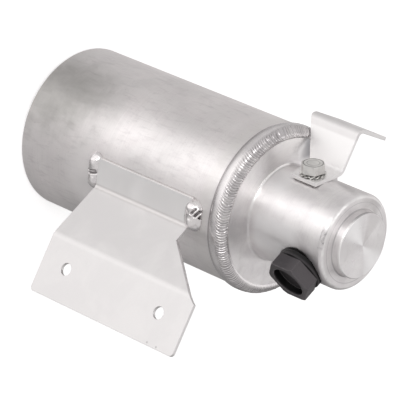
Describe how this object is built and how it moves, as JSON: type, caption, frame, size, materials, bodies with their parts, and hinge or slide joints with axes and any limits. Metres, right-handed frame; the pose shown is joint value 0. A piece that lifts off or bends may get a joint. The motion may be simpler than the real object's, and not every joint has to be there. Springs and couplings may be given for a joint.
{
  "type": "receiver drier",
  "caption": "Cylindrical receiver drier with a necked port head, plugged ports and two bent sheet brackets, one welded to the tank and one bolted to the neck.",
  "frame": {"origin": "centre of the tank's flat base", "axes": "+Z along the tank axis towards the port head; -Y is the side that the tank bracket's fixing flange faces; the tank bracket reaches towards +X and the head bracket towards -X"},
  "size_m": [0.144, 0.1014, 0.2047],
  "materials": {
    "tank": "satin, lightly brushed round the tank",
    "head": "turned",
    "weld": "as welded",
    "bracket": "mill finish sheet",
    "fastener": "zinc plated",
    "plug": "moulded, slightly glossy",
    "seal": "matt",
    "tube": "drawn",
    "plate": "pressed",
    "pad": "felt",
    "desiccant": "beads",
    "spring": "drawn wire",
    "strainer": "moulded",
    "gauze": "woven"
  },
  "bodies": {
    "root": {"tank_shell": "tank", "head": "head", "girth_weld": "weld", "tank_bracket": "bracket", "bracket_weld_lower": "weld", "bracket_weld_upper": "weld", "head_bracket": "bracket", "bolt_washer": "fastener", "bracket_bolt": "fastener", "inlet_plug": "plug", "inlet_plug_seal": "seal", "outlet_plug": "plug", "outlet_plug_seal": "seal", "pickup_tube": "tube", "pickup_seal": "seal", "lower_plate": "plate", "lower_pad": "pad", "desiccant_bed": "desiccant", "upper_pad": "pad", "upper_plate": "plate", "retaining_spring": "spring", "strainer_cage": "strainer", "strainer_gauze": "gauze"}
  },
  "joints": []
}
